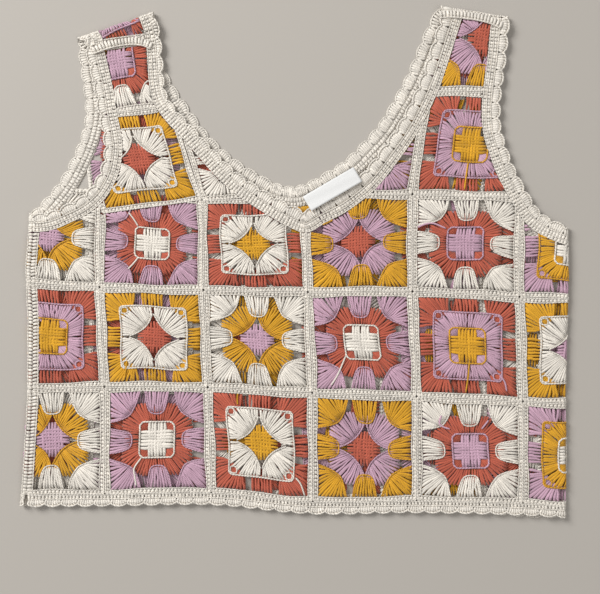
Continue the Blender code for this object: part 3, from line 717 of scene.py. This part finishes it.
class Edging:
    """Works a scalloped band along a cut line; hand is 1 where it lies to the left of the line's way."""

    def __init__(self, cloth, curve, hand, width, pitch):
        self.cloth, self.hand, self.width = cloth, hand, width
        _, self.length = walk(curve, 2)
        self.shells = int(round(self.length / pitch))
        self.pitch = self.length / self.shells
        self.line, _ = walk(curve, int(self.length) + 1)
        reach = 4
        span = 2 * reach + 1
        padded = np.pad(self.line, ((reach, reach), (0, 0)), mode="reflect", reflect_type="odd")
        soft = np.stack([np.convolve(padded[:, k], np.ones(span) / span, "valid") for k in (0, 1)], -1)
        self.way = unit(np.gradient(soft, axis=0))

    def place(self, path):
        """Moves strands from (way along, distance from the cut line, height) to the panel's plan."""
        u, v, h = path[..., 0], path[..., 1], path[..., 2]
        far = np.clip(u / self.length, 0, 1) * (len(self.line) - 1)
        i = np.minimum(far.astype(int), len(self.line) - 2)
        part = (far - i)[..., None]
        base = self.line[i] * (1 - part) + self.line[i + 1] * part
        way = self.way[i] * (1 - part) + self.way[i + 1] * part
        aside = np.stack([-way[..., 1], way[..., 0]], -1) * self.hand
        lift = h + 0.15 * np.sin(u / 4.3 + v)
        return np.concatenate([base + aside * v[..., None], lift[..., None]], -1)

    def row(self, low, high, slant, wide, height=0.0):
        """A row of stitches across the part of the band from low to high."""
        count = int(round(self.length / ROW_PITCH))
        u = (np.arange(count) + 0.5) * self.length / count
        u = u + self.cloth.random.normal(0, 0.12, count)
        base, top = points_at(u - slant / 2, low), points_at(u + slant / 2, high)
        self.cloth.add("cream", self.place(stitches(base, top, height, height)), wide, POST_TALL)

    def cord(self, curve, height, size=TRIM_YARN):
        self.cloth.add("cream", self.place(rope(curve, ROW_PITCH, height, slant=0.3)), size)

    def straight(self, v, height):
        """A cord along the band at the distance v from the cut line."""
        self.cord([(0.3, v), (self.length - 0.3, v)], height)

    def shell_row(self, start, depth):
        """Shells from start to the edge, with a cord over their tops that dips by depth between them."""
        bases, tops = [], []
        across = spread(7, 0.92)
        rim = spread(13, 1.0)
        for k in range(self.shells):
            middle = (k + 0.5) * self.pitch
            reach = self.width(middle / self.length) - start
            half = self.pitch * 0.5

            def arc(place, less):
                return start + reach + 0.4 - less - depth * (1 - np.sqrt(1 - 0.97 * place ** 2))
            tops.append(points_at(middle + half * across, arc(across, 0.7)))
            bases.append(points_at(middle + half * 0.78 * across, start))
            self.cord(points_at(middle + half * rim, arc(rim, 0.0)), 0.45, size=CORD * 1.2)
        path = stitches(np.concatenate(bases), np.concatenate(tops), 0.1, 0.3, points=4)
        self.cloth.add("cream", self.place(path), np.linspace(1.25, 1.5, 4), POST_TALL)

    def work(self):
        """From the cut line outwards: one row and its cords, two in a wide band, and then the shells."""
        narrow = self.width(0.5) < NARROW
        self.straight(0.5, 0.25)
        self.row(0.6, 3.5, 0.8, 1.6 if narrow else 1.75)
        self.straight(3.6, 0.3)
        if narrow:
            self.shell_row(3.9, 3.2)
            return
        self.row(3.7, 7.3, 0.5, 1.85)
        self.straight(7.4, 0.3)
        self.shell_row(7.6, 3.8)


def neck_width(k):
    """Width of the neck's band at the part k of its length: it widens below the left strap."""
    return STRAP_BAND + (NECK_BAND - STRAP_BAND) * min(max((k - 0.2) / 0.25, 0.0), 1.0)


def hem_line(panel):
    """The hem's cut line, from the left side seam to the right one."""
    points = read(LINES[panel][0], np.linspace(0.0, COLUMNS, 601))
    left, right = side_seams(panel, points[:, 1])
    return points[(points[:, 0] > left) & (points[:, 0] < right)]


# ---- meshes and materials

YARNS = {
    "cream": (0.89, 0.83, 0.74), "terracotta": (0.54, 0.12, 0.07), "gold": (0.75, 0.38, 0.02),
    "lilac": (0.61, 0.385, 0.49),
}


def set_inputs(node, **inputs):
    for name, value in inputs.items():
        node.inputs[name.replace("_", " ")].default_value = value
    return node


def node_of(tree, kind, **inputs):
    return set_inputs(tree.nodes.new(kind), **inputs)


def math_node(tree, operation, *inputs):
    """The output of a math node; each input is a number or another node's output."""
    node = tree.nodes.new("ShaderNodeMath")
    node.operation = operation
    for socket, value in zip(node.inputs, inputs):
        if isinstance(value, float):
            socket.default_value = value
        else:
            tree.links.new(value, socket)
    return node.outputs[0]


def new_material(name, **inputs):
    """A material, its node tree and its shader with the given inputs."""
    made = bpy.data.materials.new(name)
    made.use_nodes = True
    shader = made.node_tree.nodes["Principled BSDF"]
    return made, made.node_tree, set_inputs(shader, **inputs)


def add_relief(tree, shader, height, strength, distance):
    bump = node_of(tree, "ShaderNodeBump", Strength=strength, Distance=distance)
    tree.links.new(height, bump.inputs["Height"])
    tree.links.new(bump.outputs[0], shader.inputs["Normal"])


def add_ramp(tree, shader, source, dark, light):
    """Colours the shader from dark to light, each a place on the ramp and a colour."""
    ramp = node_of(tree, "ShaderNodeValToRGB")
    for stop, (position, colour) in zip(ramp.color_ramp.elements, (dark, light)):
        stop.position = position
        stop.color = (*colour, 1)
    tree.links.new(source, ramp.inputs[0])
    tree.links.new(ramp.outputs[0], shader.inputs["Base Color"])


def yarn_material(yarn, colour):
    """Matt cotton: two plies that twist along each strand, a soft nap and each strand's own tone; the colour
    is also darker in the grooves between the plies, which is painted shade.
    """
    made, tree, shader = new_material("Yarn_" + yarn, Roughness=0.82, Sheen_Weight=0.25, Sheen_Roughness=0.5,
                                      Specular_IOR_Level=0.25)
    twist = node_of(tree, "ShaderNodeUVMap")
    twist.uv_map = "Twist"
    axes = node_of(tree, "ShaderNodeSeparateXYZ")
    tree.links.new(twist.outputs["UV"], axes.inputs[0])
    turns = math_node(tree, "ADD", axes.outputs["X"], axes.outputs["Y"])
    ply = math_node(tree, "SINE", math_node(tree, "MULTIPLY", turns, 4 * pi))
    place = node_of(tree, "ShaderNodeTexCoord")
    nap = node_of(tree, "ShaderNodeTexNoise", Scale=1400.0, Detail=3.0)
    mottle = node_of(tree, "ShaderNodeTexNoise", Scale=60.0, Detail=2.0)
    for noise in (nap, mottle):
        tree.links.new(place.outputs["Object"], noise.inputs["Vector"])
    tone = node_of(tree, "ShaderNodeAttribute")
    tone.attribute_name = "tone"

    add_relief(tree, shader, math_node(tree, "MULTIPLY_ADD", ply, 0.5, nap.outputs[0]), 0.55, 0.0004)
    # Colour: each strand's own tone and mottle, plus painted shade that darkens the colour in the grooves
    # between the plies.
    painted_groove_shade_and_tone = math_node(tree, "MULTIPLY_ADD", ply, 0.07, tone.outputs["Fac"])
    mottle_and_painted_groove_shade = math_node(tree, "MULTIPLY_ADD", mottle.outputs[0], 0.35, painted_groove_shade_and_tone)
    dark, light = [c * 0.66 for c in colour], [min(c * 1.12, 1.0) for c in colour]
    add_ramp(tree, shader, mottle_and_painted_groove_shade, (0.25, dark), (0.95, light))
    return made


def label_material():
    """Smooth white tape with a fine weave."""
    made, tree, shader = new_material("Woven_label", Roughness=0.55, Sheen_Weight=0.15)
    place = node_of(tree, "ShaderNodeTexCoord")
    weave = node_of(tree, "ShaderNodeTexWave", Scale=900.0, Distortion=0.6)
    weave.bands_direction = "Y"
    tree.links.new(place.outputs["Object"], weave.inputs["Vector"])
    add_relief(tree, shader, weave.outputs["Fac"], 0.3, 0.0001)
    add_ramp(tree, shader, weave.outputs["Fac"], (0.0, (0.68, 0.68, 0.67)), (1.0, (0.80, 0.80, 0.79)))
    return made


MATERIALS = {yarn: yarn_material(yarn, colour) for yarn, colour in YARNS.items()}
YARN_ORDER = list(YARNS)
TWIST_LENGTH = 2.6  # millimetres of strand in one turn of its plies
BAKE_SPAN = 60.0  # millimetres of strand across the bake map
TONE = (0.42, 0.10)  # the strands' mean tone and how much it varies
FLOOR_GAP = 0.00002  # metres between the floor and the lowest strands


def quad_template(points, sides):
    """Corner lists (point, side) of a closed tube, side running on to a full turn for the maps."""
    quads = [((k, m), (k + 1, m), (k + 1, m + 1), (k, m + 1))
             for k in range(points - 1) for m in range(sides)]
    for m in range(1, sides - 1, 2):
        quads.append(((0, 0), (0, m), (0, m + 1), (0, m + 2)))
        quads.append(((points - 1, 0), (points - 1, m + 2), (points - 1, m + 1), (points - 1, m)))
    return np.array(quads)


def build(cloth):
    """The mesh of a piece: all its strands, with one material for each yarn in it."""
    yarns = [yarn for yarn in YARN_ORDER if any(batch[0] == yarn for batch in cloth.batches)]
    verts, faces, twist, bake, slots, tones = [], [], [], [], [], []
    start = 0
    for yarn, tube, length, tone in cloth.batches:
        count, points, sides, _ = tube.shape
        template = quad_template(points, sides)
        point, side = template[..., 0], template[..., 1]
        corner = point * sides + side % sides
        faces.append((start + np.arange(count)[:, None, None] * points * sides + corner[None]).reshape(-1, 4))
        far = length[:, point]
        turn = np.broadcast_to(side / sides, far.shape)
        twist.append(np.stack([far / TWIST_LENGTH, turn], -1).reshape(-1, 2))
        strip = (YARN_ORDER.index(yarn) + 0.05 + 0.9 * turn) / len(YARNS)
        bake.append(np.stack([np.clip(far / BAKE_SPAN, 0, 1), strip], -1).reshape(-1, 2))
        slots.append(np.full(count * len(template), yarns.index(yarn)))
        verts.append(tube.reshape(-1, 3))
        tones.append(np.repeat(TONE[0] + TONE[1] * tone, points * sides))
        start += count * points * sides
    verts = (np.concatenate(verts) - PLAN_MIDDLE) * MM
    verts[:, 2] = np.maximum(verts[:, 2], FLOOR_GAP)
    faces = np.concatenate(faces)

    mesh = bpy.data.meshes.new(cloth.name + "_yarn")
    mesh.vertices.add(len(verts))
    mesh.vertices.foreach_set("co", verts.ravel())
    mesh.loops.add(faces.size)
    mesh.loops.foreach_set("vertex_index", faces.ravel().astype(np.int32))
    mesh.polygons.add(len(faces))
    mesh.polygons.foreach_set("loop_start", np.arange(0, faces.size, 4, dtype=np.int32))
    mesh.polygons.foreach_set("material_index", np.concatenate(slots).astype(np.int32))
    for name, data in (("OFBake", bake), ("Twist", twist)):
        layer = mesh.uv_layers.new(name=name)
        layer.uv.foreach_set("vector", np.concatenate(data).ravel().astype(np.float32))
    tone_layer = mesh.attributes.new("tone", "FLOAT", "POINT")
    tone_layer.data.foreach_set("value", np.concatenate(tones).astype(np.float32))
    mesh.update(calc_edges=True)
    mesh.shade_smooth()
    for yarn in yarns:
        mesh.materials.append(MATERIALS[yarn])
    piece = bpy.data.objects.new(cloth.name + "_yarn", mesh)
    bpy.context.collection.objects.link(piece)
    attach(piece, "root")
    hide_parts(cloth.name)
    return piece


def cut_size(plan, keep):
    """A motif's flat width, length and area, in metres, from the part of its cell that is kept."""
    count, step = 60, 0.01
    steps = (np.arange(count) + 0.5) / count
    s, t = np.meshgrid(steps, steps)
    spot = plan(s, t)
    inside = keep(spot[..., 0], spot[..., 1])
    wide = np.linalg.norm(plan(s + step, t) - spot, axis=-1)[inside].mean() / step
    tall = np.linalg.norm(plan(s, t + step) - spot, axis=-1)[inside].mean() / step
    width = (np.ptp(s[inside]) + 1 / count) * wide * MM
    length = (np.ptp(t[inside]) + 1 / count) * tall * MM
    return width, length, inside.mean() * wide * tall * MM * MM


SEAM_BAND = 4.4  # width of the cream rows along a side or shoulder seam
RIDGE = 6.0  # width of the rows that stand up over a front shoulder seam
RIDGES = {  # where those rows run, on the plan, and their height over the cloth
    "front_left_shoulder_motif": (
        [(-166, 179), (-157, 182.5), (-148, 185), (-139, 186.5), (-130, 187), (-121, 185.5),
             (-115, 182.5)], 1.2),
    "front_right_shoulder_motif": (
        [(118, 208.5), (128, 209), (140, 208), (152, 206), (163, 203), (171, 199)], 0.9),
}


def add_band(cloth, curve, height, width=SEAM_BAND):
    """Cream rows along a line of the plan, on its right; gives the area they add, in square metres."""
    keep, cloth.keep = cloth.keep, None
    band = Edging(cloth, spline(curve, 5), -1, lambda k: width, SHELL_PITCH)
    start = 0.2 if height else -0.1
    band.row(start, width - 0.3, 0.7, 1.6, height)
    band.straight(width - 0.3, height + 0.3)
    cloth.keep = keep
    return band.length * width * MM * MM


def make_motif(name, panel, plan, design, keep, seed, inner=None, seam=None):
    """One motif; inner is the test that its coloured rounds keep to, seam the line of rows that end them."""
    cloth = Cloth(name, panel, keep, seed)
    Motif(cloth, plan, fine=panel == "front").work(design, inner or keep)
    add_tails(cloth)
    if seam is not None:
        add_band(cloth, seam, 0.0)
    width, length, area = cut_size(plan, keep)
    if name in RIDGES:
        curve, height = RIDGES[name]
        area += add_band(cloth, curve, height, RIDGE)
        length += RIDGE * MM
    piece = build(cloth)
    area = min(area, width * length)


def make_edging(name, panel, curve, hand, width, pitch, seed):
    """One edging; width gives its band's width at each part of its length."""
    cloth = Cloth(name, panel, None, seed)
    edging = Edging(cloth, curve, hand, width, pitch)
    edging.work()
    piece = build(cloth)
    mean = np.mean([width(k) for k in np.linspace(0, 1, 50)]) + RIM


def beside_seam(panel, keep, side):
    """Adds the rows along a side seam, 0 the left one and 1 the right one, to a motif's test."""
    away, hand = SEAM / 2 + SEAM_BAND, (1, -1)[side]
    return lambda x, y: keep(x, y) & ((x - side_seams(panel, y)[side]) * hand > away)


def side_line(panel, row, side):
    """A side seam beside one row of motifs, with the motif on its right, as far as the armhole."""
    inward = (1, -1)[side]
    heights = []
    for line in LINES[panel][row:row + 2]:
        points = read(line, (COLUMNS - 1) * side + np.linspace(0, 1, 41))
        middle = side_seams(panel, points[:, 1])[side].mean() + inward * SEAM_BAND / 2
        heights.append(at_height(points, middle))
    bottom, top = heights
    if row == 2:
        top = min(top, (ARM_LEFT, ARM_RIGHT)[side][panel][-1, 1])
    y = np.linspace(bottom + 0.4, top - 0.4, 9)[::inward]
    return np.stack([side_seams(panel, y)[side] + inward * SEAM / 2, y], -1)


def make_body(panel, seed):
    """The three rows of motifs; the front's left strap lies over one of them, which stops there."""
    for row, row_name in enumerate(ROW_NAMES):
        for column in range(COLUMNS):
            def keep(x, y, under_strap=(panel, row, column) == ("front", 2, 1)):
                return on_body(panel, x, y) & (~np.full(x.shape, under_strap) | (y < pleat(x)))
            name = f"{panel}_{row_name}_motif_{column + 1}"
            plan = body_cell(panel, column, row)
            inner, seam = None, None
            if column in (0, COLUMNS - 1):
                side = int(column > 0)
                inner, seam = beside_seam(panel, keep, side), side_line(panel, row, side)
            design = LAYOUT[panel][row][column]
            make_motif(name, panel, plan, design, keep, seed + 10 * row + column, inner, seam)


def make_straps(panel, seed):
    """The motifs over the top line: straps, shoulders and the gores beside the neck."""
    neck_left, neck_right = split(NECK[panel])
    tests = {
        "left": between(ARM_LEFT[panel], neck_left), "right": between(neck_right, ARM_RIGHT[panel]),
        "gore_l": between(None, neck_left), "gore_r": between(neck_right, None),
    }
    seams = {
        "left": seam_line(panel, LEFT_CROWN, LEFT_SEAM), "right": seam_line(panel, RIGHT_CROWN, RIGHT_SEAM),
    }
    for k, (part, cell, row, front_design, back_design) in enumerate(STRAPS):
        keep, inner, seam = tests[cell], None, None
        if row == 1:
            seam = seams[cell]
            inner = under_seam(keep, seam, SEAM_BAND)
            keep = under_seam(keep, seam)
        plan = strap_cell(f"{panel}_{cell}", row)
        design = front_design if panel == "front" else back_design
        make_motif(f"{panel}_{part}", panel, plan, design, keep, seed + k, inner, seam)


def make_edgings(panel, seed):
    edgings = (
        ("neck", NECK[panel], 1, neck_width, SHELL_PITCH),
        ("left_armhole", ARM_LEFT[panel], -1, lambda k: ARM_BAND, SHELL_PITCH),
        ("right_armhole", ARM_RIGHT[panel], 1, lambda k: ARM_BAND, SHELL_PITCH),
        ("hem", hem_line(panel), -1, lambda k: HEM_BAND, HEM_PITCH),
    )
    for k, (part, curve, hand, width, pitch) in enumerate(edgings):
        make_edging(f"{panel}_{part}_edging", panel, curve, hand, width, pitch, seed + k)


def make_label():
    """The blank neck label: a thin woven tape, a little bent."""
    length, width = LABEL
    shape = bmesh.new()
    bmesh.ops.create_grid(shape, x_segments=32, y_segments=10, size=0.5)
    for vert in shape.verts:
        x, y = vert.co.x, vert.co.y
        lift = 0.35 * cos(2.2 * x + 0.4) + 0.12 * sin(9 * y + 3 * x)
        vert.co = Vector((x * length, y * width, lift - 0.2)) * MM
    mesh = bpy.data.meshes.new("neck_label_tape")
    shape.to_mesh(mesh)
    shape.free()
    mesh.materials.append(label_material())
    mesh.shade_smooth()
    label = bpy.data.objects.new("neck_label_tape", mesh)
    bpy.context.collection.objects.link(label)
    label.rotation_euler = (-0.1, 0.0, 0.53)
    label.location = (Vector((31.0, 63.0, 5.9)) - Vector(PLAN_MIDDLE)) * MM
    solid = label.modifiers.new("Thickness", "SOLIDIFY")
    solid.thickness = 0.0006
    solid.offset = 0.0
    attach(label, "root")
    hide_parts("neck_label")


# ---- the stage

LAMPS = (  # name, place and size in metres, and watts
    ("Key", (-1.8, 1.4, 1.7), 1.3, 86.0),
    ("Fill", (1.4, -0.9, 2.2), 1.6, 15.0),
)
VIEW = 0.4938  # metres of floor across the picture
VIEW_MIDDLE = (0.0045, -0.0288)


def make_stage():
    """A plain pale floor, soft light from above and the camera over the top."""
    bpy.ops.mesh.primitive_plane_add(size=6.0, location=(0, 0, 0))
    floor = bpy.context.object
    floor.name = "Floor"
    made, _, _ = new_material("Pale_floor", Base_Color=(0.44, 0.41, 0.37, 1), Roughness=0.8)
    floor.data.materials.append(made)

    world = bpy.data.worlds.new("Studio")
    bpy.context.scene.world = world
    world.use_nodes = True
    set_inputs(world.node_tree.nodes["Background"], Color=(1.0, 0.98, 0.96, 1), Strength=0.36)
    for name, place, size, power in LAMPS:
        data = bpy.data.lights.new(name, "AREA")
        data.size = size
        data.energy = power
        lamp = bpy.data.objects.new(name, data)
        lamp.location = place
        lamp.rotation_euler = (-Vector(place)).to_track_quat("-Z", "Y").to_euler()
        bpy.context.collection.objects.link(lamp)

    data = bpy.data.cameras.new("Camera")
    data.lens = 50.0
    data.sensor_width = 36.0
    camera = bpy.data.objects.new("Camera", data)
    camera.location = (*VIEW_MIDDLE, VIEW * data.lens / data.sensor_width)
    bpy.context.collection.objects.link(camera)
    bpy.context.scene.camera = camera
    bpy.context.scene.view_settings.view_transform = "Standard"


make_stage()
for first_seed, panel_name in ((0, "back"), (1000, "front")):
    make_body(panel_name, first_seed)
    make_straps(panel_name, first_seed + 100)
    make_edgings(panel_name, first_seed + 200)
make_label()
